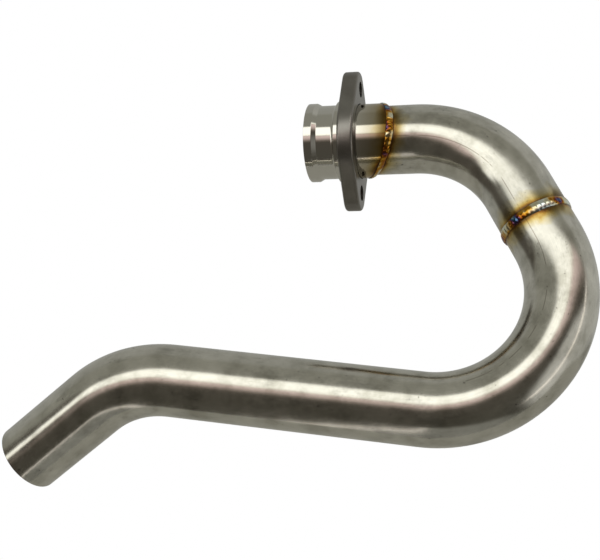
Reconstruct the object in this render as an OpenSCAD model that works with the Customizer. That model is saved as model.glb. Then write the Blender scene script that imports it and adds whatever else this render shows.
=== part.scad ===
// Motorcycle exhaust header: a bent steel tube in two welded lengths, with a
// turned collar at its engine end and a loose flange that clamps the collar
// to the cylinder head.
// The origin is on the collar's axis, in the flange's cylinder head face.
// +X runs along the collar towards the tube and +Z along the stud line.

/* [Tube] */
// Outside diameter of the tube
tube_od = 38.1; // [36:0.1:40]
// Thickness of the tube's wall
tube_wall = 1.2; // [0.9:0.1:2]
// Radius of the bends, to the tube's middle line
bend_r = 63.5; // [57:0.5:80]

/* [Run of the tube] */
// From the flange's cylinder head face to the start of the first bend
lead_l = 40; // [38:0.5:60]
// How far the first bend leans forward from straight down, in degrees
bend_1_lean = 20; // [0:1:45]
// Angle of the first bend
bend_1 = 62; // [40:1:80]
// Straight from the first bend to the butt weld
weld_l = 20; // [6:0.5:30]
// Straight from the butt weld to the second bend
bridge_l = 12; // [6:0.5:40]
// Turn of the tube in the bender before the second bend, in degrees
bend_2_turn = -4; // [-20:1:20]
// Angle of the second bend
bend_2 = 123; // [90:1:140]
// Straight from the second bend to the third
long_l = 132; // [80:1:200]
// Turn of the tube in the bender before the third bend, in degrees
bend_3_turn = 146; // [120:1:180]
// Angle of the third bend
bend_3 = 43; // [20:1:60]
// Straight from the third bend to the outlet
tail_l = 53.5; // [40:0.5:120]

/* [Collar] */
// Length of the nose that goes into the exhaust port
nose_l = 19.4; // [17:0.1:26]
// Radius of the nose's lip
lip_r = 22; // [21.3:0.1:23]
// Width of the lip
lip_w = 4.3; // [3:0.1:6]
// Length of the slope behind the lip
lip_slope_l = 2.5; // [1:0.1:4]
// Thickness of the collar's wall outside the tube
collar_wall = 1.5; // [1.2:0.1:2]
// Radius of the shoulder that the flange pulls on
shoulder_r = 22.6; // [22.3:0.1:24]
// Width of the shoulder's rim
shoulder_w = 2.4; // [1.5:0.1:4]
// Radius of the cove in front of the shoulder
cove_r = 1.9; // [1:0.1:2.5]
// Depth of the socket that the tube sits in, behind the flange's cylinder head face
socket_x = 4; // [2:0.5:8]
// Where the sleeve's slanting end crosses the collar's axis
sleeve_l = 17.2; // [15:0.1:24]
// Shortest length of the sleeve, on its far side
sleeve_min_l = 12; // [11.5:0.1:15]
// Slant of the sleeve's end towards the near side, in degrees
sleeve_slant = 25; // [0:1:30]
// Slant of the sleeve's end towards the top, in degrees
sleeve_rise = 8; // [-10:1:10]
// Chamfer on the collar's turned edges
collar_edge = 0.6; // [0.3:0.1:0.9]

/* [Flange] */
// Thickness of the flange
flange_t = 9; // [7:0.5:9.5]
// Radius of the flange's round middle
boss_r = 26.5; // [25:0.5:30]
// Radius of the flange's two ears
ear_r = 10; // [8:0.5:11]
// Distance between the two studs
stud_gap = 58; // [56:0.5:66]
// Diameter of the stud holes
stud_hole_d = 8.8; // [8.2:0.1:11]
// Radius of the hollow between the middle and an ear
blend_r = 5; // [2:0.5:5.5]

/* [Welds] */
// Width of the butt weld's bead
butt_w = 5.6; // [4:0.2:8]
// Height of the butt weld's bead
butt_h = 0.95; // [0.5:0.05:1.5]
// How far the collar weld reaches along the tube
fillet_l = 3.6; // [2.5:0.1:5]
// How far the collar weld reaches back over the sleeve
fillet_lap = 1.2; // [0.6:0.1:1.6]
// Height of the collar weld's crown over its two toes
fillet_h = 0.9; // [0.4:0.1:1.4]
// Distance from one ripple of a bead to the next
ripple_pitch = 3; // [2.4:0.1:4]
// How deep the ripples are, as a share of the bead's height
ripple_depth = 0.3; // [0:0.05:0.45]

/* [Fits] */
// Gap all round between the flange's bore and the collar
flange_play = 0.35; // [0.3:0.05:0.5]
// Gap between the shoulder and the loose flange
flange_gap = 0.2; // [0.1:0.05:0.4]
// Gap all round between the tube and its socket
socket_play = 0.05; // [0.03:0.01:0.15]
// Gap between the two lengths of tube under the butt weld
root_gap = 0.1; // [0.05:0.05:0.4]
// Gap between a bead and the metal that it lies on
bead_gap = 0.02; // [0.02:0.01:0.05]

/* [Hidden] */
tube_r = tube_od / 2;
bore_r = tube_r - tube_wall;
socket_r = tube_r + socket_play;
collar_r = socket_r + collar_wall;
// The mandrel draws the wall of a bend this much thinner on each face
thinning = 0.02;
// How far a straight runs into the bend beside it
bite = 0.3;
// How far a cutting solid reaches past what it cuts
past = 1;
round_fn = 48;
bend_fn = 72;
arc_steps = 10;
bead_steps = 6;
rings_per_ripple = 3;
upper_run = [[lead_l - socket_x - socket_play, -bend_1_lean, bend_1], [weld_l - root_gap / 2]];
lower_run = [[bridge_l - root_gap / 2, bend_2_turn, bend_2], [long_l, bend_3_turn, bend_3], [tail_l]];
weld_run = [[lead_l, -bend_1_lean, bend_1], [weld_l]];

// The tube, its runs and its bends stand along +Z, and a bend turns towards +X
module section(loss = 0) {
  difference() {
    circle(r = tube_r - loss, $fn = round_fn);
    circle(r = bore_r + loss, $fn = round_fn);
  }
}

module straight(l, before, after) {
  translate([0, 0, -before]) linear_extrude(l + before + after) section();
}

module bend(angle) {
  translate([bend_r, 0, 0]) rotate([90, 0, 180])
    rotate_extrude(angle = angle, $fn = bend_fn) translate([bend_r, 0]) section(thinning);
}

module after_bend(angle) {
  translate([bend_r, 0, 0]) rotate([0, angle, 0]) translate([-bend_r, 0, 0]) children();
}

// A run is rows of straight length, turn and bend angle, and its last row is a straight alone
module pipe(run, i = 0) {
  row = run[i];
  bends = len(row) > 1;
  straight(row[0], i > 0 ? bite : 0, bends ? bite : 0);
  if (bends) translate([0, 0, row[0]]) rotate([0, 0, row[1]]) {
    bend(row[2]);
    after_bend(row[2]) pipe(run, i + 1);
  }
}

module at_end_of(run, i = 0) {
  row = run[i];
  translate([0, 0, row[0]])
    if (len(row) > 1) rotate([0, 0, row[1]]) after_bend(row[2]) at_end_of(run, i + 1) children();
    else children();
}

module on_collar_axis() {
  rotate([0, 90, 0]) children();
}

// Where the sleeve ends, as a place along the axis, at angle a round from the near side and radius r
function slant_x(a, r) = sleeve_l + r * (tan(sleeve_slant) * cos(a) + tan(sleeve_rise) * sin(a));
function sleeve_end(a, r) = max(sleeve_min_l, slant_x(a, r));
function cove_points() = [
  for (a = [0:15:90]) [collar_r + cove_r * (1 - cos(a)), -flange_gap - shoulder_w - cove_r + cove_r * sin(a)]
];

// The collar's turned outline, as radius and place along the axis, with its sleeve left long
module collar_profile() {
  sleeve_full = slant_x(0, collar_r) + past;
  polygon(concat(
    [[bore_r, -nose_l],
     [lip_r - collar_edge, -nose_l],
     [lip_r, -nose_l + collar_edge],
     [lip_r, -nose_l + lip_w],
     [collar_r, -nose_l + lip_w + lip_slope_l]],
    cove_points(),
    [[shoulder_r - collar_edge, -flange_gap - shoulder_w],
     [shoulder_r, -flange_gap - shoulder_w + collar_edge],
     [shoulder_r, -flange_gap - collar_edge / 2],
     [shoulder_r - collar_edge / 2, -flange_gap],
     [collar_r, -flange_gap],
     [collar_r, sleeve_full],
     [socket_r, sleeve_full],
     [socket_r, socket_x],
     [bore_r, socket_x]]
  ));
}

// All that lies behind the slanting plane and also behind the sleeve's shortest length
module sleeve_cut() {
  size = 8 * collar_r;
  intersection() {
    translate([sleeve_min_l, -size / 2, -size / 2]) cube(size);
    multmatrix([[1, -tan(sleeve_slant), tan(sleeve_rise), sleeve_l], [0, 1, 0, 0], [0, 0, 1, 0], [0, 0, 0, 1]])
      translate([0, -size / 2, -size / 2]) cube(size);
  }
}

module port_collar() {
  color("#c9c9c2") difference() {
    on_collar_axis() rotate_extrude($fn = round_fn) collar_profile();
    sleeve_cut();
  }
}

// One quarter of the flange's outline, as [y, z]: its middle, the hollow and an ear
function arc(centre, r, from, to) = [
  for (i = [0:arc_steps]) let (a = from + (to - from) * i / arc_steps) centre + r * [cos(a), sin(a)]
];
function quarter() = let (
  y = ear_r + blend_r,
  z = sqrt(pow(boss_r + blend_r, 2) - y * y),
  a = atan2(z, y),
  hollow = arc([y, z], blend_r, a + 180, 180)
) concat(
  arc([0, 0], boss_r, 0, a),
  [for (i = [1:arc_steps]) hollow[i]],
  arc([0, stud_gap / 2], ear_r, 0, 90)
);
function reversed(list) = [for (i = [len(list) - 1:-1:0]) list[i]];
function without_ends(list) = [for (i = [1:len(list) - 2]) list[i]];
function outline() = let (
  q = quarter(),
  left = [for (p = reversed(q)) [-p[0], p[1]]],
  upper = concat(q, [for (i = [1:len(left) - 1]) left[i]]),
  lower = without_ends([for (p = reversed(upper)) [p[0], -p[1]]])
) concat(upper, lower);

module mounting_flange() {
  color("#5b5751") difference() {
    rotate([90, 0, 90]) linear_extrude(flange_t) polygon(outline());
    translate([-past, 0, 0]) on_collar_axis()
      cylinder(r = collar_r + flange_play, h = flange_t + 2 * past, $fn = round_fn);
    for (side = [-1, 1]) translate([-past, 0, side * stud_gap / 2]) on_collar_axis()
      cylinder(d = stud_hole_d, h = flange_t + 2 * past, $fn = 32);
  }
}

module upper_pipe() {
  color("#a8a397") translate([socket_x + socket_play, 0, 0]) on_collar_axis() pipe(upper_run);
}

module lower_pipe() {
  color("#a39e92") on_collar_axis() at_end_of(weld_run)
    translate([0, 0, root_gap / 2]) pipe(lower_run);
}

// A bead goes round the tube in ripples that climb and drop like a row of overlapping coins
function ripples(r) = round(2 * PI * r / ripple_pitch);
function ripple(i) = 1 - ripple_depth * (i % rings_per_ripple) / (rings_per_ripple - 1);

// Closes rings of equally many points into a hoop
module hoop(rings) {
  n = len(rings[0]);
  m = len(rings);
  polyhedron(
    points = [for (ring = rings, p = ring) p],
    faces = [
      for (k = [0:m - 1], i = [0:n - 1]) let (j = (i + 1) % n, l = (k + 1) % m)
        [k * n + i, k * n + j, l * n + j, l * n + i]
    ]
  );
}

module pipe_weld() {
  m = ripples(tube_r) * rings_per_ripple;
  inner = (tube_r + bead_gap) / cos(180 / m);
  color("#8a6f4c") on_collar_axis() at_end_of(weld_run) hoop([
    for (k = [0:m - 1]) let (a = 360 * k / m) [
      for (j = [0:bead_steps]) let (
        t = 180 * j / bead_steps,
        r = inner + butt_h * ripple(k) * sin(t)
      ) [r * cos(a), r * sin(a), -butt_w / 2 * cos(t)]
    ]
  ]);
}

// The collar weld's section at angle a: over the crown from the sleeve to the tube, then back against both
function fillet_section(a, grow, inner_r, sleeve_r) = let (
  top = sleeve_end(a, sleeve_r),
  back = top - fillet_lap,
  toe = top + fillet_l
) concat(
  [for (j = [0:bead_steps]) let (t = j / bead_steps)
    [back + (toe - back) * t, sleeve_r + (inner_r - sleeve_r) * t + fillet_h * grow * sin(180 * t)]],
  [[sleeve_end(a, inner_r) + bead_gap, inner_r], [top + bead_gap, sleeve_r]]
);

module collar_weld() {
  m = ripples(collar_r) * rings_per_ripple;
  spread = 1 / cos(180 / m);
  color("#80603c") hoop([
    for (k = [0:m - 1]) let (
      a = 360 * k / m,
      s = fillet_section(a, ripple(k), (tube_r + bead_gap) * spread, (collar_r + bead_gap) * spread)
    ) [for (p = s) [p[0], -p[1] * cos(a), p[1] * sin(a)]]
  ]);
}

port_collar();
mounting_flange();
upper_pipe();
lower_pipe();
collar_weld();
pipe_weld();
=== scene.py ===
# %% [markdown]
# # A motorcycle exhaust header
# This lesson dresses a header whose construction is already made: a bent steel
# tube in two welded lengths, a turned collar and a loose flange. The frame says
# where each piece is. Here each one gets its true surface: smooth drawn tube,
# turned and polished steel, a blasted flange, and weld beads with heat colours.

# %% Load the frame
import math

import bpy
import numpy as np
from mathutils import Matrix, Vector


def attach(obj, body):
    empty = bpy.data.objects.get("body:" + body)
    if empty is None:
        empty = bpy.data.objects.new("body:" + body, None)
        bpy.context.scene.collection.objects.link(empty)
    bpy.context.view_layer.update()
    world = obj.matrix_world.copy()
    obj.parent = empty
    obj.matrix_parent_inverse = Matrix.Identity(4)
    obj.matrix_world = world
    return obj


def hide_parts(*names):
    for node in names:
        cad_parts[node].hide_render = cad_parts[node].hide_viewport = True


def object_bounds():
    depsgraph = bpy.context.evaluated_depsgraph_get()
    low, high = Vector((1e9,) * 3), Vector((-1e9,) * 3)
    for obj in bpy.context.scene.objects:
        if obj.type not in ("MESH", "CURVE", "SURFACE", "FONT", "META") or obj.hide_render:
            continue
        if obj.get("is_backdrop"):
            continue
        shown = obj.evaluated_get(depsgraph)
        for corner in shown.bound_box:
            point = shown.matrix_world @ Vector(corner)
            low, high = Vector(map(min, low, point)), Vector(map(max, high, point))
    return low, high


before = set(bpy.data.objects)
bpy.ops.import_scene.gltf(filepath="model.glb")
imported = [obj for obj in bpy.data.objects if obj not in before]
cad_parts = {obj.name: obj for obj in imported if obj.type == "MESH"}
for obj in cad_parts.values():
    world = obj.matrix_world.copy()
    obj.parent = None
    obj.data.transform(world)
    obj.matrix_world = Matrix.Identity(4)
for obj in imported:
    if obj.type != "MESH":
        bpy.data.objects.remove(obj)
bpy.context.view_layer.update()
bpy.ops.object.select_all(action="DESELECT")
print("nodes:", sorted(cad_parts))

# %% [markdown]
# ## Sizes
# Every size is written once, in metres, as a number of millimetres. The run is a
# bender's table: how far to push the tube, how far to turn it, how far to bend it.

# %% Sizes
MM = 0.001
TUBE_R = 19.05 * MM
TUBE_WALL = 1.2 * MM
BORE_R = TUBE_R - TUBE_WALL
BEND_R = 63.5 * MM
LEAD = 40 * MM
SOCKET_X = 4.05 * MM
WELD_AFTER_BEND = 20 * MM
BRIDGE = 12 * MM
LONG = 132 * MM
TAIL = 53.5 * MM
BENDS = [(math.radians(-20), math.radians(62)), (math.radians(-4), math.radians(123)),
         (math.radians(146), math.radians(43))]
COLLAR_R = 20.6 * MM
NOSE = 19.4 * MM
FLANGE_T = 9 * MM
BEAD_W = 5.6 * MM
BEAD_H = 0.95 * MM
RIPPLE = 2.4 * MM

# %% [markdown]
# ## The run of the tube
# A straight pushes the frame along its own +Z, and a bend swings it about a line
# one bend radius away. Keeping the frame at each step gives every later piece its
# place, and gives each point of the tube a place in the tube as it was before it
# was bent, which is where scratches, stains and heat colours belong.

# %% Frames along the run
def push(length):
    return Matrix.Translation((0, 0, length))


def swing(angle):
    pivot = Matrix.Translation((BEND_R, 0, 0))
    return pivot @ Matrix.Rotation(angle, 4, "Y") @ pivot.inverted()


def turn(angle):
    return Matrix.Rotation(angle, 4, "Z")


def lay_out(place, steps):
    """Follows straights and bends from a frame, and lists each with the frames where it starts and ends."""
    legs, along = [], 0.0
    for kind, size, roll in steps:
        start = place @ turn(roll)
        end = start @ (push(size) if kind == "straight" else swing(size))
        legs.append({"kind": kind, "size": size, "roll": roll, "start": start, "end": end, "along": along})
        along += size if kind == "straight" else size * BEND_R
        place = end
    return legs


collar_axis = Matrix.Rotation(math.pi / 2, 4, "Y") @ push(SOCKET_X)
run = lay_out(collar_axis, [
    ("straight", LEAD - SOCKET_X, 0), ("bend", BENDS[0][1], BENDS[0][0]),
    ("straight", WELD_AFTER_BEND, 0), ("straight", BRIDGE, 0),
    ("bend", BENDS[1][1], BENDS[1][0]), ("straight", LONG, 0),
    ("bend", BENDS[2][1], BENDS[2][0]), ("straight", TAIL, 0)])
UPPER, LOWER = run[:3], run[3:]
weld_place = LOWER[0]["start"]
outlet = run[-1]["end"].translation
print("weld at", [round(c / MM, 1) for c in weld_place.translation],
      "outlet at", [round(c / MM, 1) for c in outlet], "mm")

# %% [markdown]
# ## Helpers for modelling by operator
# Each operator acts on what is selected, so a piece starts from nothing selected
# and stays the only thing in edit mode until it is finished.

# %% Helpers for modelling
MERGE = 0.001 * MM
COARSE_MERGE = 0.01 * MM


def only(piece):
    bpy.ops.object.select_all(action="DESELECT")
    piece.select_set(True)
    bpy.context.view_layer.objects.active = piece


def start_ring(name, radius, place, vertices):
    """A bare ring of edges on the frame's XY plane, open for editing."""
    bpy.ops.object.select_all(action="DESELECT")
    bpy.ops.mesh.primitive_circle_add(vertices=vertices, radius=radius)
    ring = bpy.context.active_object
    ring.name = name
    ring.data.name = name
    ring.data.transform(place)
    bpy.ops.object.mode_set(mode="EDIT")
    bpy.ops.mesh.select_all(action="SELECT")
    return ring


def reshape_ring(ring, points):
    """Moves the points of a ring that is open for editing, and selects them all again."""
    bpy.ops.object.mode_set(mode="OBJECT")
    set_points(ring, points)
    bpy.ops.object.mode_set(mode="EDIT")
    bpy.ops.mesh.select_all(action="SELECT")


def extrude_by(vector):
    bpy.ops.mesh.extrude_region_move(TRANSFORM_OT_translate={"value": vector})


def close_up(piece, merge=MERGE):
    """Merges what meets, points every face outwards and goes back to object mode."""
    bpy.ops.mesh.select_all(action="SELECT")
    bpy.ops.mesh.remove_doubles(threshold=merge)
    bpy.ops.mesh.normals_make_consistent(inside=False)
    bpy.ops.object.mode_set(mode="OBJECT")
    return piece


def apply_modifier(piece, kind, **settings):
    only(piece)
    modifier = piece.modifiers.new(kind.title(), kind)
    for key, value in settings.items():
        setattr(modifier, key, value)
    bpy.ops.object.modifier_apply(modifier=modifier.name)


def bevel(piece, width, segments, degrees):
    """Rounds every edge that turns by more than a number of degrees."""
    apply_modifier(piece, "BEVEL", width=width, segments=segments, limit_method="ANGLE",
                   angle_limit=math.radians(degrees))


def smooth(piece, degrees):
    only(piece)
    bpy.ops.object.shade_smooth_by_angle(angle=math.radians(degrees))


def smooth_and_weigh(piece, degrees):
    """Smooth shading in which wide faces keep their own normals, so a bevel doesn't tilt them."""
    smooth(piece, degrees)
    apply_modifier(piece, "WEIGHTED_NORMAL", keep_sharp=True)


def points_of(piece):
    points = np.empty(len(piece.data.vertices) * 3)
    piece.data.vertices.foreach_get("co", points)
    return points.reshape(-1, 3)


def set_points(piece, points):
    piece.data.vertices.foreach_set("co", np.asarray(points, float).ravel())
    piece.data.update()


def dress(piece, body, slot, material, *nodes):
    """Gives a piece its material and its body, and hides the nodes that it stands for."""
    piece.data.materials.clear()
    piece.data.materials.append(material)
    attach(piece, body)
    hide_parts(*nodes)
    print(piece.name, "has", len(piece.data.polygons), "faces")


# %% [markdown]
# ## Places in the straight tube
# Stainless tube is polished before it is bent, so its marks follow the bends. Each
# point keeps where it was in the straight tube, and how far it is from a weld. The
# materials read these as attributes, so no mark slides or swims in a bend.
#
# The collar's weld lies over the end of its sleeve, which slants: it reaches
# furthest on the near side, and a little further at the top than at the bottom.

# %% Attributes of a point on the run
WELD_ALONG = LOWER[0]["along"]
# A point this near to a leg's axis is wholly on it, and a later leg has to be nearer by more than the tie
ON_THE_RUN = 1.3 * TUBE_R
TIE = 1e-7
SLEEVE_MIDDLE = 17.2 * MM
SLEEVE_SHORTEST = 12 * MM
SLANT_NEAR = math.tan(math.radians(25))
SLANT_UP = math.tan(math.radians(8))
FILLET_BACK = 0.9 * MM
FILLET_FRONT = 3.1 * MM
OUT_OF_REACH = 1.0


def straightened(points):
    """For each point, its place in the tube before bending: across, across and along, in metres."""
    best = np.full(len(points), np.inf)
    place = np.zeros((len(points), 3))
    roll = 0.0
    homogeneous = np.c_[points, np.ones(len(points))]
    for leg in run:
        roll += leg["roll"]
        local = homogeneous @ np.array(leg["start"].inverted()).T
        x, y, z = local[:, 0], local[:, 1], local[:, 2]
        if leg["kind"] == "bend":
            angle = np.arctan2(z, BEND_R - x)
            x = BEND_R - np.hypot(BEND_R - x, z)
            z = angle * BEND_R
            length = leg["size"] * BEND_R
        else:
            length = leg["size"]
        outside = np.maximum(0, np.maximum(-z, z - length))
        miss = outside + np.maximum(0, np.hypot(x, y) - ON_THE_RUN)
        better = miss < best - TIE
        best[better] = miss[better]
        first_across = x * math.cos(roll) - y * math.sin(roll)
        second_across = x * math.sin(roll) + y * math.cos(roll)
        turned = np.stack([first_across, second_across, z + leg["along"]], axis=1)
        place[better] = turned[better]
    return place


def collar_weld_x(angle):
    """Where the sleeve ends along X, at an angle round from the near side towards the top."""
    slant = SLEEVE_MIDDLE + COLLAR_R * (SLANT_NEAR * np.cos(angle) + SLANT_UP * np.sin(angle))
    return np.maximum(SLEEVE_SHORTEST, slant)


def collar_weld_distance(points):
    """Distance from the middle of the collar's bead, as if that were as wide as the other bead."""
    near_angle = np.arctan2(points[:, 2], -points[:, 1])
    middle = collar_weld_x(near_angle) + (FILLET_FRONT - FILLET_BACK) / 2
    return np.abs(points[:, 0] - middle) + (BEAD_W - FILLET_FRONT - FILLET_BACK) / 2


def mark_run(piece):
    """Writes the piece's attributes: its place in the straight tube, and how far it is from a weld."""
    points = points_of(piece)
    place = straightened(points)
    from_collar = np.where(place[:, 2] > LEAD, OUT_OF_REACH, collar_weld_distance(points))
    nearest = np.minimum(from_collar, np.abs(place[:, 2] - WELD_ALONG))
    vector = piece.data.attributes.new("straight_place", "FLOAT_VECTOR", "POINT")
    vector.data.foreach_set("vector", place.ravel())
    number = piece.data.attributes.new("weld_distance", "FLOAT", "POINT")
    number.data.foreach_set("value", nearest)


# %% [markdown]
# ## Materials
# All of it is steel, and what differs is how each surface was made. One small
# function adds a node with its settings and links, and colours are written as the
# hex numbers that a picture would show.

# %% Helpers for materials
def linear(hex_colour):
    def channel(i):
        value = int(hex_colour[i:i + 2], 16) / 255
        return value / 12.92 if value <= 0.04045 else ((value + 0.055) / 1.055) ** 2.4
    return channel(1), channel(3), channel(5), 1.0


def plug(tree, node, **links):
    """Gives a node's inputs their values or sockets. Base_Color names an input, and i0 is the first."""
    for key, value in links.items():
        by_number = key[0] == "i" and key[1:].isdigit()
        socket = node.inputs[int(key[1:]) if by_number else key.replace("_", " ")]
        if isinstance(value, bpy.types.NodeSocket):
            tree.links.new(value, socket)
        else:
            socket.default_value = value


def add(tree, kind, settings=None, **links):
    """Adds a node. Settings are its own properties, and links are values or sockets for its inputs."""
    node = tree.nodes.new(kind)
    for key, value in (settings or {}).items():
        setattr(node, key, value)
    plug(tree, node, **links)
    return node


def ramp(tree, source, stops):
    """A colour ramp from a rising list of places and hex colours, linear colours or grey levels."""
    node = add(tree, "ShaderNodeValToRGB", Fac=source)
    elements = node.color_ramp.elements
    while len(elements) < len(stops):
        elements.new(0.5)
    for element, (place, colour) in zip(elements, stops):
        element.position = place
        if isinstance(colour, str):
            element.color = linear(colour)
        elif isinstance(colour, tuple):
            element.color = (*colour, 1)
        else:
            element.color = (colour, colour, colour, 1)
    return node.outputs["Color"]


def noise(tree, place, patch, detail, roughness=0.5):
    """Noise whose largest patches have a size in metres."""
    node = add(tree, "ShaderNodeTexNoise", Vector=place, Scale=1 / patch, Detail=detail, Roughness=roughness)
    return node.outputs["Fac"]


def stretched(tree, place, scale):
    """A place to draw noise at, where a scale under 1 stretches the noise along that axis."""
    return add(tree, "ShaderNodeMapping", Vector=place, Scale=scale).outputs["Vector"]


def attribute(tree, name, output="Fac"):
    return add(tree, "ShaderNodeAttribute", {"attribute_name": name}).outputs[output]


def object_place(tree):
    return add(tree, "ShaderNodeTexCoord").outputs["Object"]


def math_node(tree, operation, a, b=0.0):
    return add(tree, "ShaderNodeMath", {"operation": operation}, i0=a, i1=b).outputs[0]


def all_of(tree, *factors):
    product = factors[0]
    for factor in factors[1:]:
        product = math_node(tree, "MULTIPLY", product, factor)
    return product


def mix_colour(tree, factor, a, b, blend="MIX"):
    settings = {"data_type": "RGBA", "blend_type": blend}
    return add(tree, "ShaderNodeMix", settings, i0=factor, i6=a, i7=b).outputs[2]


def step_between(tree, value, low, high):
    """0 below low, 1 above high, and smooth between. With low above high it falls instead."""
    first, last = (1.0, 0.0) if low > high else (0.0, 1.0)
    node = add(tree, "ShaderNodeMapRange", {"interpolation_type": "SMOOTHSTEP"}, Value=value,
               From_Min=min(low, high), From_Max=max(low, high), To_Min=first, To_Max=last)
    return node.outputs[0]


def spread(tree, value, low, high):
    """Carries a value from 0 to 1 over to one from low to high."""
    return add(tree, "ShaderNodeMapRange", Value=value, To_Min=low, To_Max=high).outputs[0]


def bump(tree, height, strength, distance):
    return add(tree, "ShaderNodeBump", Strength=strength, Distance=distance, Height=height).outputs["Normal"]


def new_steel(name):
    material = bpy.data.materials.new(name)
    material.use_nodes = True
    tree = material.node_tree
    shader = tree.nodes["Principled BSDF"]
    plug(tree, shader, Metallic=1.0)
    return material, tree, shader


# %% [markdown]
# ### Heat colours
# Hot stainless steel grows an oxide film, and its thickness gives a colour: straw
# first, then gold, brown, purple and blue beside the bead. The distance to the
# weld drives a ramp, and noise lets each band wander as the heat did. Patches of
# brown smoke lie over the bands here and there.

# %% Heat colours
HEAT_REACH = 11 * MM
# The distance is multiplied by the noise times the first of these plus the second
WANDER_GAIN, WANDER_LEAST = 1.5, 0.3
WANDER_PATCH = 1 / 95
HEAT_BANDS = [(0.0, "#4d4658"), (0.23, "#6a4a3c"), (0.28, "#a8763a"), (0.35, "#d6ac58"),
              (0.46, "#ecd594"), (0.62, "#f6eac8"), (0.82, "#fbf7ea"), (1.0, "#ffffff")]
SMOKE_PATCH = 16 * MM
SMOKE_STARTS, SMOKE_FULL = 0.47, 0.62
SMOKE_FAR, SMOKE_NEAR = 10 * MM, 3 * MM
SMOKE_COVER = 0.8
SMOKE_BROWN = linear("#7d6844")


def heat_tint(tree, place):
    """The film's colour at each point, as a tint to multiply the steel by."""
    distance = attribute(tree, "weld_distance")
    wander = math_node(tree, "MULTIPLY", noise(tree, place, WANDER_PATCH, detail=3.0), WANDER_GAIN)
    wander = math_node(tree, "ADD", wander, WANDER_LEAST)
    reach = math_node(tree, "DIVIDE", math_node(tree, "MULTIPLY", distance, wander), HEAT_REACH)
    smoke = step_between(tree, noise(tree, place, SMOKE_PATCH, detail=3.0), SMOKE_STARTS, SMOKE_FULL)
    beside_weld = step_between(tree, distance, SMOKE_FAR, SMOKE_NEAR)
    cover = all_of(tree, smoke, beside_weld, SMOKE_COVER)
    return mix_colour(tree, cover, ramp(tree, reach, HEAT_BANDS), SMOKE_BROWN)


# %% [markdown]
# ### Satin tube
# Drawn stainless tube, polished lengthways with a fine belt and handled since. That
# gives soft-edged reflections, faint hairlines along the tube, and cloudy patches
# where the polish is uneven. A thin dark line along one side is a painted reflection
# of the dark gap between two window panels, broken in places.

# %% Satin tube
HAIRLINE = 0.25 * MM
HAIRLINE_STRETCH = (1, 1, 0.02)
HAIRLINE_COVER = 0.10
CLOUD = 14 * MM
STAIN = 9 * MM
STAIN_STRETCH = (1, 1, 0.45)
PIT = 1.1 * MM
# Noise levels: where a pit starts and is full, and how stained the steel is where pits start and are full
PIT_STARTS, PIT_FULL = 0.79, 0.82
PITTED_FROM, PITTED_FULLY = 0.5, 0.56
PIT_COVER = 0.8
# Painted reflection: a thin dark line that stands in for the reflected gap between two window panels. Its
# width, where it ends, the cloud level under which it breaks, and its cover
PAINTED_GAP_LINE = 0.22 * MM
PAINTED_GAP_LINE_END = LOWER[2]["along"] - 25 * MM
PAINTED_GAP_LINE_BREAKS = 0.46
PAINTED_GAP_LINE_COVER = 0.45


def stained(tree, place, base):
    """Dull stains drawn out along the tube, with dark pits in some of them."""
    stains = noise(tree, stretched(tree, place, STAIN_STRETCH), STAIN, detail=5.0, roughness=0.65)
    dull = ramp(tree, stains, [(0.54, 1.0), (0.62, 0.86), (0.74, 0.7)])
    base = mix_colour(tree, 1.0, base, dull, "MULTIPLY")
    specks = step_between(tree, noise(tree, place, PIT, detail=0.0), PIT_STARTS, PIT_FULL)
    pits = all_of(tree, specks, step_between(tree, stains, PITTED_FROM, PITTED_FULLY), PIT_COVER)
    return mix_colour(tree, pits, base, linear("#3a3128"))


def painted_gap_reflection(tree, place, clouds, base):
    """A painted reflection of the dark gap between two window panels: a thin dark line on one side of the
    tube, broken in places, that ends within the second bend.
    """
    across, sideways, along = add(tree, "ShaderNodeSeparateXYZ", Vector=place).outputs
    thin = math_node(tree, "LESS_THAN", math_node(tree, "ABSOLUTE", across), PAINTED_GAP_LINE)
    near = math_node(tree, "LESS_THAN", sideways, 0.0)
    early = math_node(tree, "LESS_THAN", along, PAINTED_GAP_LINE_END)
    left = math_node(tree, "GREATER_THAN", clouds, PAINTED_GAP_LINE_BREAKS)
    # Paints the reflected dark gap in dark brown wherever all of these hold
    return mix_colour(tree, all_of(tree, thin, near, early, left, PAINTED_GAP_LINE_COVER), base, linear("#5a4c3a"))


def satin_tube():
    material, tree, shader = new_steel("satin_stainless_tube")
    place = attribute(tree, "straight_place", "Vector")
    clouds = noise(tree, place, CLOUD, detail=4.0, roughness=0.6)
    base = ramp(tree, clouds, [(0.3, "#aba89c"), (0.5, "#c4c1b6"), (0.7, "#d2cfc4")])
    hairs = noise(tree, stretched(tree, place, HAIRLINE_STRETCH), HAIRLINE, detail=2.0)
    base = mix_colour(tree, HAIRLINE_COVER, base, ramp(tree, hairs, [(0.35, 0.3), (0.65, 1.0)]), "MULTIPLY")
    base = stained(tree, place, base)
    # Paints the reflection of the dark gap between two window panels as a line on the tube
    base = painted_gap_reflection(tree, place, clouds, base)
    base = mix_colour(tree, 1.0, base, heat_tint(tree, place), "MULTIPLY")
    plug(tree, shader, Base_Color=base, Roughness=spread(tree, clouds, low=0.12, high=0.22),
         Normal=bump(tree, hairs, strength=0.12, distance=0.02 * MM))
    return material


# %% [markdown]
# ### Polished collar
# The collar is turned from bar and buffed to a mirror. It reflects its surroundings
# sharply, with the finest trace of the tool's rings. Towards its weld it carries the
# heat colours, and it is painted darker and warmer there: a painted reflection of the
# flange's dark face, which the sleeve mirrors.

# %% Polished collar
TOOL_RING = 0.4 * MM
TOOL_RING_STRETCH = (1, 0.01, 0.01)
SMUDGE = 1 / 120
# Painted reflection: from this far to this near the weld, the sleeve is painted darker and warmer, for the
# flange's dark face that it mirrors
MIRRORED_DARK_FAR, MIRRORED_DARK_NEAR = 24 * MM, 5 * MM


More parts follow.
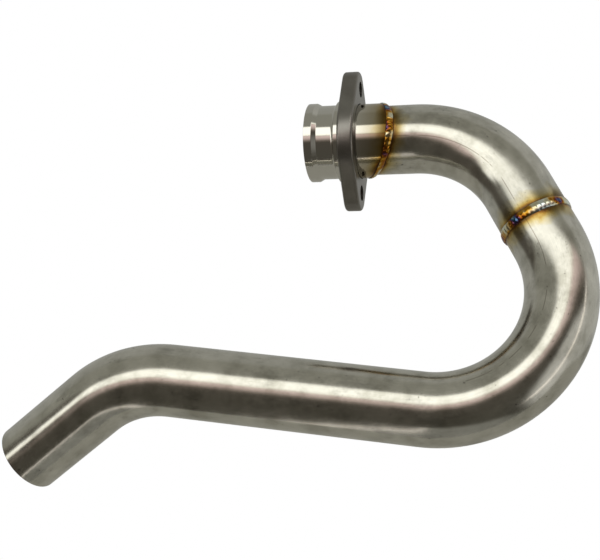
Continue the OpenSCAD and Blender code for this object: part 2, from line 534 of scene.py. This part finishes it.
def polished_collar():
    material, tree, shader = new_steel("turned_and_buffed_stainless")
    place = object_place(tree)
    # Painted reflection: darker, warmer steel near the weld stands in for the mirrored flange face
    mirrored_dark = step_between(tree, attribute(tree, "weld_distance"), MIRRORED_DARK_FAR, MIRRORED_DARK_NEAR)
    base = mix_colour(tree, mirrored_dark, linear("#c8c5bc"), linear("#a3987e"))
    base = mix_colour(tree, 1.0, base, heat_tint(tree, place), "MULTIPLY")
    rings = noise(tree, stretched(tree, place, TOOL_RING_STRETCH), TOOL_RING, detail=1.0)
    smudges = noise(tree, place, SMUDGE, detail=3.0)
    plug(tree, shader, Base_Color=base, Roughness=spread(tree, smudges, low=0.04, high=0.12),
         Normal=bump(tree, rings, strength=0.08, distance=0.01 * MM))
    return material


# %% [markdown]
# ### Satin flange
# The flange is cut from thick plate and blasted, which leaves it darker and duller
# than the tube, warm grey, with a fine even grain.

# %% Satin flange
PLATE_CLOUD = 1 / 70
BLAST_GRAIN = 0.35 * MM
GRAIN_COVER = 0.15


def satin_flange():
    material, tree, shader = new_steel("blasted_steel_plate")
    place = object_place(tree)
    clouds = noise(tree, place, PLATE_CLOUD, detail=3.0)
    base = ramp(tree, clouds, [(0.3, "#7b7771"), (0.55, "#88857f"), (0.75, "#918e88")])
    grain = noise(tree, place, BLAST_GRAIN, detail=2.0)
    base = mix_colour(tree, GRAIN_COVER, base, ramp(tree, grain, [(0.3, 0.4), (0.7, 1.0)]), "MULTIPLY")
    plug(tree, shader, Base_Color=base, Roughness=0.34,
         Normal=bump(tree, grain, strength=0.2, distance=0.03 * MM))
    return material


# %% [markdown]
# ### Weld bead
# The bead is metal that melted and froze in ripples. It is bright where it froze
# last, and patches of gold, brown, purple and blue film lie over it. Its toes, where
# it meets the tube, are dark.

# %% Weld bead
FILM_PATCH = 1 / 70
TOE_STARTS, TOE_FULL = 0.72, 0.98
TOE_COVER = 0.75


def weld_bead_steel():
    material, tree, shader = new_steel("heat_tinted_weld_bead")
    film = noise(tree, object_place(tree), FILM_PATCH, detail=2.5, roughness=0.55)
    base = ramp(tree, film, [(0.30, "#7fa3ad"), (0.37, "#d9e0dc"), (0.45, "#cfc9a8"), (0.50, "#b98a2c"),
                             (0.55, "#8a4a16"), (0.59, "#4b3a66"), (0.63, "#4a7a94"), (0.68, "#cfd8d8")])
    edge = all_of(tree, step_between(tree, attribute(tree, "toe"), TOE_STARTS, TOE_FULL), TOE_COVER)
    base = mix_colour(tree, edge, base, linear("#3a3330"))
    plug(tree, shader, Base_Color=base, Roughness=0.14)
    return material


SATIN_TUBE = satin_tube()
POLISHED = polished_collar()
FLANGE_STEEL = satin_flange()
BEAD_STEEL = weld_bead_steel()
print("materials:", [steel.name for steel in (SATIN_TUBE, POLISHED, FLANGE_STEEL, BEAD_STEEL)])

# %% [markdown]
# ## The two lengths of tube
# A ring is pushed along each straight with extrude and carried round each bend with
# spin, exactly as the bender does it. Solidify then gives the wall, inwards, and a
# small bevel takes the edge off each cut end.

# %% The two lengths of tube
TUBE_RING = 128
BEND_STEP = math.radians(2.5)
PUSH_STEP = 3 * MM
CUT_EDGE = 0.18 * MM


def draw_tube(name, legs):
    tube = start_ring(name, TUBE_R, legs[0]["start"], TUBE_RING)
    for leg in legs:
        axes = leg["start"].to_3x3()
        if leg["kind"] == "straight":
            pushes = math.ceil(leg["size"] / PUSH_STEP)
            for _ in range(pushes):
                extrude_by(axes @ Vector((0, 0, leg["size"] / pushes)))
        else:
            bpy.ops.mesh.spin(steps=math.ceil(leg["size"] / BEND_STEP), angle=-leg["size"],
                              center=leg["start"] @ Vector((BEND_R, 0, 0)), axis=axes @ Vector((0, 1, 0)))
    close_up(tube)
    # An open shell has no inside for Blender to find, so a face at its start shows which way they all point
    first_end = legs[0]["start"].translation
    face = min(tube.data.polygons, key=lambda f: (f.center - first_end).length)
    if face.normal.dot(face.center - first_end) < 0:
        tube.data.flip_normals()
    apply_modifier(tube, "SOLIDIFY", thickness=TUBE_WALL, offset=-1.0)
    bevel(tube, CUT_EDGE, segments=2, degrees=60)
    smooth_and_weigh(tube, degrees=35)
    mark_run(tube)
    last_end = legs[-1]["end"].translation
    print(name, "ends", round((last_end - outlet).length / MM, 1), "mm from the outlet")
    return tube


upper_tube = draw_tube("upper_tube", UPPER)
lower_tube = draw_tube("lower_tube", LOWER)
dress(upper_tube, "header", "satin_tube", SATIN_TUBE, "upper_pipe")
dress(lower_tube, "header", "satin_tube", SATIN_TUBE, "lower_pipe")

# %% [markdown]
# ## The collar
# A turned piece is a stack of rings: each step extrudes the last ring, slides it
# along the axis and scales it to the next radius. Going out over the lip, along the
# shoulder and sleeve and back down the bore closes it. The sleeve's last rings are
# then slid along to the slanting cut.

# %% The collar
LIP_R = 22 * MM
LIP_BACK = 15.1 * MM
SLOPE_FOOT = 12.6 * MM
COVE_R = 1.9 * MM
# The cove turns by this many degrees from ring to ring
COVE_STEP = 15
SHOULDER_R = 22.6 * MM
SHOULDER_W = 2.4 * MM
SHOULDER_GAP = 0.2 * MM
SLEEVE_MARK = 30 * MM
SOCKET_R = 19.1 * MM
SOCKET_FLOOR = 4 * MM
COLLAR_RING = 160
COLLAR_EDGE = 0.35 * MM


def stack_rings(name, profile):
    """Turns a profile of places along X and radii into a closed shell of revolution."""
    x, radius = profile[0]
    first_place = Matrix.Translation((x, 0, 0)) @ Matrix.Rotation(math.pi / 2, 4, "Y")
    piece = start_ring(name, radius, first_place, COLLAR_RING)
    for next_x, next_radius in profile[1:]:
        growth = next_radius / radius
        extrude_by((next_x - x, 0, 0))
        bpy.ops.transform.resize(value=(1, growth, growth), center_override=(next_x, 0, 0))
        x, radius = next_x, next_radius
    return close_up(piece)


shoulder_front = -SHOULDER_GAP - SHOULDER_W
cove_angles = [math.radians(degrees) for degrees in range(0, 90 + COVE_STEP, COVE_STEP)]
cove = [(shoulder_front - COVE_R + COVE_R * math.sin(a), COLLAR_R + COVE_R * (1 - math.cos(a)))
        for a in cove_angles]
collar_profile = [
    (-NOSE, BORE_R), (-NOSE, LIP_R), (-LIP_BACK, LIP_R), (-SLOPE_FOOT, COLLAR_R), *cove,
    (shoulder_front, SHOULDER_R), (-SHOULDER_GAP, SHOULDER_R), (-SHOULDER_GAP, COLLAR_R),
    (SLEEVE_MARK, COLLAR_R), (SLEEVE_MARK, SOCKET_R),
    (SOCKET_FLOOR, SOCKET_R), (SOCKET_FLOOR, BORE_R), (-NOSE, BORE_R)]
collar = stack_rings("turned_collar", collar_profile)
collar_points = points_of(collar)
at_sleeve_end = collar_points[:, 0] > SLEEVE_MARK - MM
near_angles = np.arctan2(collar_points[:, 2], -collar_points[:, 1])
collar_points[at_sleeve_end, 0] = collar_weld_x(near_angles)[at_sleeve_end]
set_points(collar, collar_points)
bevel(collar, COLLAR_EDGE, segments=3, degrees=20)
smooth_and_weigh(collar, degrees=60)
mark_run(collar)
dress(collar, "header", "polished_collar", POLISHED, "port_collar")

# %% [markdown]
# ## The flange
# The plate's outline is a round middle and two ears, joined by straight flanks that
# touch both. It is extruded to its thickness and its rim is bevelled round. Then the
# bore and the two stud holes are cut with cylinders, as a drill press would.

# %% The flange
BOSS_R, EAR_R = 26.5 * MM, 10 * MM
STUD = 29 * MM
STUD_HOLE_R = 4.4 * MM
FLANGE_BORE_R = 20.95 * MM
RIM_EDGE = 1.5 * MM
HOLE_EDGE = 0.35 * MM
HOLE_RING = 96
ARC = 16


def flange_quarter():
    """A quarter of the outline, as Y and Z: round the middle, straight to the ear and round it to its tip."""
    lean = math.asin((BOSS_R - EAR_R) / STUD)
    middle = [(BOSS_R * math.cos(lean * i / ARC), BOSS_R * math.sin(lean * i / ARC)) for i in range(ARC + 1)]
    sweep = [lean + (math.pi / 2 - lean) * i / ARC for i in range(ARC + 1)]
    return middle + [(EAR_R * math.cos(a), STUD + EAR_R * math.sin(a)) for a in sweep]


def drill(piece, radius, z):
    """Cuts a hole along X with a cylinder that is longer than the plate is thick."""
    bpy.ops.object.select_all(action="DESELECT")
    bpy.ops.mesh.primitive_cylinder_add(vertices=HOLE_RING, radius=radius, depth=4 * FLANGE_T,
                                        location=(0, 0, z), rotation=(0, math.pi / 2, 0))
    bit = bpy.context.active_object
    apply_modifier(piece, "BOOLEAN", object=bit, operation="DIFFERENCE", solver="EXACT")
    bpy.data.objects.remove(bit)


quarter = flange_quarter()
half = quarter + [(-y, z) for y, z in reversed(quarter[:-1])]
outline = half + [(y, -z) for y, z in reversed(half[1:-1])]
flange = start_ring("loose_flange", BOSS_R, Matrix.Identity(4), len(outline))
reshape_ring(flange, [(0, y, z) for y, z in outline])
bpy.ops.mesh.remove_doubles(threshold=COARSE_MERGE)
bpy.ops.mesh.edge_face_add()
extrude_by((FLANGE_T, 0, 0))
close_up(flange)
bevel(flange, RIM_EDGE, segments=5, degrees=60)
for radius, z in ((FLANGE_BORE_R, 0), (STUD_HOLE_R, STUD), (STUD_HOLE_R, -STUD)):
    drill(flange, radius, z)
bevel(flange, HOLE_EDGE, segments=2, degrees=60)
smooth_and_weigh(flange, degrees=60)
dress(flange, "flange", "satin_flange", FLANGE_STEEL, "mounting_flange")

# %% [markdown]
# ## The weld beads
# A bead is one section carried round the tube. Its crown is then raised and dropped
# in code, ripple by ripple, with each ripple's front bowed like the edge of a coin,
# and its width wanders a little, because a hand laid it.

# %% The weld beads
SECTION = 14
SECTION_R = 0.5 * MM
STEPS_PER_RIPPLE = 8
SINK = 0.15 * MM
# The section's crown is where its sine is over this, and the rest lies inside the tube's wall
CROWN_FROM = -0.01
UNDERSIDE = -0.25
# How far a ripple's front is bowed, the height between ripples, and the power that leans them to one side
RIPPLE_BOW, RIPPLE_LEAST, RIPPLE_LEAN = 0.45, 0.72, 0.6
# The width's share of wandering, three times and eleven times round the tube
SLOW_WOBBLE, QUICK_WOBBLE = 0.07, 0.05


def ripple_height(turns, across):
    """How high the bead stands, from 0 to 1, at a place in ripples and across its width from -1 to 1."""
    phase = (turns + RIPPLE_BOW * across ** 2) % 1.0
    crown = np.sqrt(np.clip(1 - across ** 2, 0, 1))
    return crown * (RIPPLE_LEAST + (1 - RIPPLE_LEAST) * np.sin(np.pi * phase ** RIPPLE_LEAN))


def bead_ring(name, place, radius, ripples, toes):
    """A bead round a tube. It rises between its toes, which toes(angle) gives along Z and as radii."""
    bead = start_ring(name, radius, Matrix.Identity(4), SECTION)
    section = np.linspace(0, 2 * math.pi, SECTION, endpoint=False)
    reshape_ring(bead, [(radius + SECTION_R * math.sin(a), 0, SECTION_R * math.cos(a)) for a in section])
    bpy.ops.mesh.spin(steps=ripples * STEPS_PER_RIPPLE, angle=2 * math.pi, center=(0, 0, 0), axis=(0, 0, 1))
    close_up(bead, COARSE_MERGE)
    points = points_of(bead)
    angle = np.arctan2(points[:, 1], points[:, 0])
    around = np.arctan2(np.hypot(points[:, 0], points[:, 1]) - radius, points[:, 2])
    across = np.cos(around)
    share = (across + 1) / 2
    wobble = 1 + SLOW_WOBBLE * np.sin(3 * angle + 1) + QUICK_WOBBLE * np.sin(11 * angle)
    rise = ripple_height(angle / (2 * math.pi) * ripples, across)
    lift = np.where(np.sin(around) > CROWN_FROM, rise, UNDERSIDE)
    back_z, back_r, front_z, front_r = toes(angle)
    middle_z = (back_z + front_z) / 2
    z = middle_z + (back_z + (front_z - back_z) * share - middle_z) * wobble
    r = back_r + (front_r - back_r) * share - SINK + (BEAD_H + SINK) * lift * wobble
    set_points(bead, np.stack([r * np.cos(angle), r * np.sin(angle), z], axis=1))
    bead.data.transform(place)
    toe = bead.data.attributes.new("toe", "FLOAT", "POINT")
    toe.data.foreach_set("value", np.abs(across))
    smooth(bead, degrees=80)
    return bead


def butt_toes(angle):
    return -BEAD_W / 2, TUBE_R, BEAD_W / 2, TUBE_R


def fillet_toes(angle):
    """The collar's bead lies over the end of the slanting sleeve. Its angle counts from the near side."""
    end = collar_weld_x(angle)
    return end - FILLET_BACK, COLLAR_R, end + FILLET_FRONT, TUBE_R


around_weld = round(2 * math.pi * TUBE_R / RIPPLE)
butt_bead = bead_ring("butt_weld_bead", weld_place, TUBE_R, around_weld, butt_toes)
# The fillet's own frame has +Z along the collar's axis, +X towards the near side and +Y towards the top
near_side = Matrix(((0, 0, 1, 0), (-1, 0, 0, 0), (0, 1, 0, 0), (0, 0, 0, 1)))
fillet_bead = bead_ring("collar_weld_bead", near_side, COLLAR_R, around_weld, fillet_toes)
dress(butt_bead, "header", "weld_bead", BEAD_STEEL, "pipe_weld")
dress(fillet_bead, "header", "weld_bead", BEAD_STEEL, "collar_weld")

# %% [markdown]
# ## Camera
# The photograph was taken with a long lens from about two thirds of a metre, level
# with the middle of the header and 14 degrees round from square on.

# %% Camera
CAMERA_PLACE = Vector((135.3, -660.7, -79.2)) * MM
CAMERA_TARGET = Vector((-27.3, 0, -77.2)) * MM
CAMERA_ROLL = math.radians(0.68)
LENS = 72
SENSOR = 36
CLIP_START = 10 * MM

camera_data = bpy.data.cameras.new("camera")
camera_data.lens = LENS
camera_data.sensor_width = SENSOR
camera_data.clip_start = CLIP_START
camera = bpy.data.objects.new("camera", camera_data)
bpy.context.scene.collection.objects.link(camera)
aim = (CAMERA_TARGET - CAMERA_PLACE).to_track_quat("-Z", "Y").to_matrix().to_4x4()
camera.matrix_world = Matrix.Translation(CAMERA_PLACE) @ aim @ Matrix.Rotation(-CAMERA_ROLL, 4, "Z")
bpy.context.scene.camera = camera
print("camera", round((CAMERA_TARGET - CAMERA_PLACE).length / MM), "mm away with a", LENS, "mm lens")

# %% [markdown]
# ## Studio
# Bare metal shows nothing but its surroundings, so the room is half of the look. To
# the camera it is all white. What the metal sees is a pale sweep behind the header,
# a slanting wedge of window light in front and above, dark shade under it and to the
# left, a pale wall to the right, and two thin gaps of light. The window's edges and
# the gaps lie along great circles, so each needs only a direction's distance from a
# plane. The other edges are places along X, Y or Z.

# %% Studio
WINDOW_TOP = (-0.366, 0.682, 0.633)
WINDOW_FOOT = (-0.351, 0.262, 0.899)
WINDOW_SIDE = (-0.658, 0.233, 0.716)
WINDOW_SIDE_SHIFT = 0.06
FLOOR_GAP = (0.934, 0.202, -0.296)
FLOOR_GAP_W = 0.024
WALL_GAP = (0.218, 0.867, -0.449)
WALL_GAP_W = 0.05
GAP_CORE = 0.3
LIGHT = 2.0
# Colours of the front of the room before LIGHT multiplies them. The window's foot is at 0.5
FRONT = [(0.0, (0.045, 0.043, 0.036)), (0.38, (0.05, 0.045, 0.038)), (0.42, (0.13, 0.11, 0.096)),
         (0.455, (0.32, 0.262, 0.25)), (0.49, (0.46, 0.37, 0.36)), (0.525, (0.54, 0.44, 0.425)),
         (0.532, (0.2, 0.17, 0.15)), (0.54, (0.78, 0.77, 0.71)), (0.58, (0.96, 0.965, 0.93))]
SHADE = (0.05, 0.045, 0.038, 1)
CEILING = (0.17, 0.17, 0.152, 1)
WALL = (0.34, 0.34, 0.33, 1)
SWEEP = (0.205, 0.207, 0.195, 1)
SWEEP_RIGHT = (0.28, 0.282, 0.27, 1)
GROUND = (0.14, 0.14, 0.13, 1)
GLOW = (0.95, 0.9, 0.86, 1)
WHITE = (1, 1, 1, 1)
# Where the wall starts and is full along X, the ground along Z, and the sweep's right side along X
BESIDE = (0.66, 0.8)
LOW = (-0.72, -0.8)
SWEEP_TURN = (-0.2, 0.8)
FLOOR_SIZE = 3
FLOOR_BACK = 1.4
FLOOR_DROP = 0.4


def over_plane(tree, look, plane):
    return add(tree, "ShaderNodeVectorMath", {"operation": "DOT_PRODUCT"}, i0=look, i1=plane).outputs["Value"]


def gap(tree, distance, width):
    """The edge of a thin gap on a plane, which starts at its width and is full in its core."""
    return math_node(tree, "ABSOLUTE", distance), width, GAP_CORE * width


def white_to_camera(tree, lit, white):
    """The camera sees the white shader, and everything else sees the lit one."""
    seen_by_camera = add(tree, "ShaderNodeLightPath").outputs["Is Camera Ray"]
    node = add(tree, "ShaderNodeMixShader", i0=seen_by_camera, i1=lit.outputs[0], i2=white.outputs[0])
    return node.outputs[0]


def front_of_room(tree, look):
    """How far a direction is over the window's two lower edges, and the colour of the room's front there."""
    side = math_node(tree, "ADD", over_plane(tree, look, WINDOW_SIDE), WINDOW_SIDE_SHIFT)
    foot = math_node(tree, "MINIMUM", over_plane(tree, look, WINDOW_FOOT), side)
    foot_place = add(tree, "ShaderNodeMapRange", Value=foot, From_Min=-1.0, From_Max=1.0).outputs[0]
    return foot, ramp(tree, foot_place, FRONT)


def studio_world():
    world = bpy.data.worlds.new("studio")
    bpy.context.scene.world = world
    world.use_nodes = True
    tree = world.node_tree
    tree.nodes.clear()
    look = add(tree, "ShaderNodeTexCoord").outputs["Generated"]
    x, y, z = add(tree, "ShaderNodeSeparateXYZ", Vector=look).outputs
    foot, seen = front_of_room(tree, look)
    top = over_plane(tree, look, WINDOW_TOP)
    floor_gap = over_plane(tree, look, FLOOR_GAP)
    wall_gap = over_plane(tree, look, WALL_GAP)
    sweep = mix_colour(tree, step_between(tree, x, *SWEEP_TURN), SWEEP, SWEEP_RIGHT)
    # Each row lays a colour over those before it. An edge is a value, where it starts and where it is full
    layers = [
        (SHADE, (x, -0.55, -0.72), (foot, 0.07, 0.04)),
        (SHADE, (x, -0.7, -0.78), (z, -0.03, -0.09)),
        (CEILING, (top, -0.03, 0.05)),
        (SHADE, (x, -0.83, -0.91), (z, 0.16, 0.06)),
        (SHADE, (x, -0.75, -0.81), (z, 0.1, 0.13), (z, 0.3, 0.2)),
        (WALL, (x, *BESIDE), (z, 0.4, 0.2)),
        (GROUND, (z, *LOW), (floor_gap, 0.0, 0.03)),
        (GLOW, (z, *LOW), gap(tree, floor_gap, FLOOR_GAP_W)),
        (GLOW, (x, *BESIDE), gap(tree, wall_gap, WALL_GAP_W), (z, 0.5, 0.3)),
        (sweep, (y, -0.06, 0.16))]
    for colour, *edges in layers:
        cover = all_of(tree, *[step_between(tree, *edge) for edge in edges])
        seen = mix_colour(tree, cover, seen, colour)
    lit = add(tree, "ShaderNodeBackground", Color=seen, Strength=LIGHT)
    white = add(tree, "ShaderNodeBackground", Color=WHITE, Strength=1.0)
    add(tree, "ShaderNodeOutputWorld", Surface=white_to_camera(tree, lit, white))
    print("studio of", len(layers), "layers over the front of the room")


def pale_floor():
    """A floor well under the header, which the camera sees as white and the metal sees as pale grey."""
    bpy.ops.object.select_all(action="DESELECT")
    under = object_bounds()[0].z - FLOOR_DROP
    bpy.ops.mesh.primitive_plane_add(size=FLOOR_SIZE, location=(0, FLOOR_BACK, under))
    floor = bpy.context.active_object
    floor.name = "pale_floor"
    material = bpy.data.materials.new("pale_floor_paint")
    material.use_nodes = True
    tree = material.node_tree
    tree.nodes.clear()
    matt = add(tree, "ShaderNodeBsdfDiffuse", Color=linear("#d8d8d4"))
    white = add(tree, "ShaderNodeEmission", Color=WHITE, Strength=1.0)
    add(tree, "ShaderNodeOutputMaterial", Surface=white_to_camera(tree, matt, white))
    floor.data.materials.append(material)
    floor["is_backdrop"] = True


studio_world()
pale_floor()
bpy.context.scene.view_settings.view_transform = "Standard"
